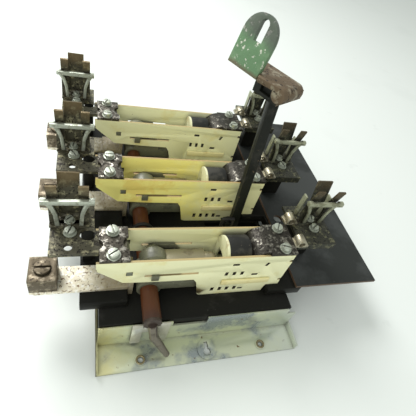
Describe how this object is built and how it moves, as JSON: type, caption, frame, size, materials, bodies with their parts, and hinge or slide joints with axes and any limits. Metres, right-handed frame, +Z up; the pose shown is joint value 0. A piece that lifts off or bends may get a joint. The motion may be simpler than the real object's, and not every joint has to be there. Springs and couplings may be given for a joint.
{
  "type": "fused knife blade switch",
  "caption": "Three-pole fused switch interior: steel pan, black base, cream side plates, knife-blade fuse clips, sliding contacts on a crossbar and a tall slotted operating lever.",
  "frame": {"origin": "centre of the four pan holes, in the plane of the pan's underside (the mount point is half a sheet thickness up)", "axes": "+X along the poles from the wire lugs to the load end, +Y from the front pole to the rear pole, +Z up from the mounting face"},
  "size_m": [0.278, 0.271, 0.2106],
  "materials": {
    "pan_steel": "yellow passivated zinc, worn",
    "phenolic": "moulded black phenolic, satin",
    "sheet_fibre": "black fibre sheet, brown cut edges",
    "cream_fibre": "aged cream vulcanised fibre",
    "arc_fibre": "dark moulded arc hood",
    "tinned_copper": "tin plated copper, speckled tarnish",
    "brass_parts": "dull brass",
    "lug_bronze": "tarnished cast bronze",
    "plated_steel": "dull zinc plate",
    "red_fibre": "red-brown fibre tube",
    "bare_steel": "oiled bare steel",
    "moulded_carrier": "grey-green moulding",
    "black_paint": "black enamel, rubbed",
    "rusty_steel": "rusted steel",
    "green_paint": "green enamel, chipped"
  },
  "bodies": {
    "base": {"mounting_pan": "pan_steel", "base_block": "phenolic", "end_rail_left": "phenolic", "end_rail_right": "phenolic", "insulating_sheet": "sheet_fibre", "side_plate_front_1": "cream_fibre", "side_plate_front_2": "cream_fibre", "side_plate_front_3": "cream_fibre", "side_plate_rear_1": "cream_fibre", "side_plate_rear_2": "cream_fibre", "side_plate_rear_3": "cream_fibre", "chute_strips": "cream_fibre", "load_terminal_1": "tinned_copper", "load_terminal_2": "tinned_copper", "load_terminal_3": "tinned_copper", "fixed_contact_1": "tinned_copper", "fixed_contact_2": "tinned_copper", "fixed_contact_3": "tinned_copper", "link_straps": "brass_parts", "screws": "plated_steel", "arc_hood_1": "arc_fibre", "arc_hood_2": "arc_fibre", "arc_hood_3": "arc_fibre", "arc_end_plates": "cream_fibre", "clip_left_1": "tinned_copper", "clip_left_2": "tinned_copper", "clip_left_3": "tinned_copper", "clip_right_1": "tinned_copper", "clip_right_2": "tinned_copper", "clip_right_3": "tinned_copper", "spring_left_1": "plated_steel", "spring_left_2": "plated_steel", "spring_left_3": "plated_steel", "spring_right_1": "plated_steel", "spring_right_2": "plated_steel", "spring_right_3": "plated_steel", "clip_posts": "phenolic", "line_strap_1": "tinned_copper", "line_strap_2": "tinned_copper", "line_strap_3": "tinned_copper", "lug_1": "lug_bronze", "lug_2": "lug_bronze", "lug_3": "lug_bronze", "lug_screws": "plated_steel", "pivot_pin": "bare_steel"},
    "crossbar": {"crossbar_tube": "red_fibre", "crossbar_rod": "bare_steel", "end_shoe": "plated_steel", "drive_link": "bare_steel", "carrier_1": "moulded_carrier", "carrier_2": "moulded_carrier", "carrier_3": "moulded_carrier", "moving_contact_1": "brass_parts", "moving_contact_2": "brass_parts", "moving_contact_3": "brass_parts"},
    "lever": {"lever_bar": "black_paint", "lever_arm": "rusty_steel", "lever_tab": "green_paint"}
  },
  "joints": [
    {"name": "lever_hinge", "type": "hinge", "parent": "base", "child": "lever", "pos_m": [0.0424, -0.031, 0.007], "axis": [0, 1, 0], "range_deg": [0, 36.59]},
    {"name": "crossbar_slide", "type": "slide", "parent": "base", "child": "crossbar", "axis": [1, 0, 0], "range_m": [0, 0.02701]}
  ],
  "couplings": [
    {"joint": "crossbar_slide", "follows": "lever_hinge", "m_per_rad": 0.042273}
  ]
}
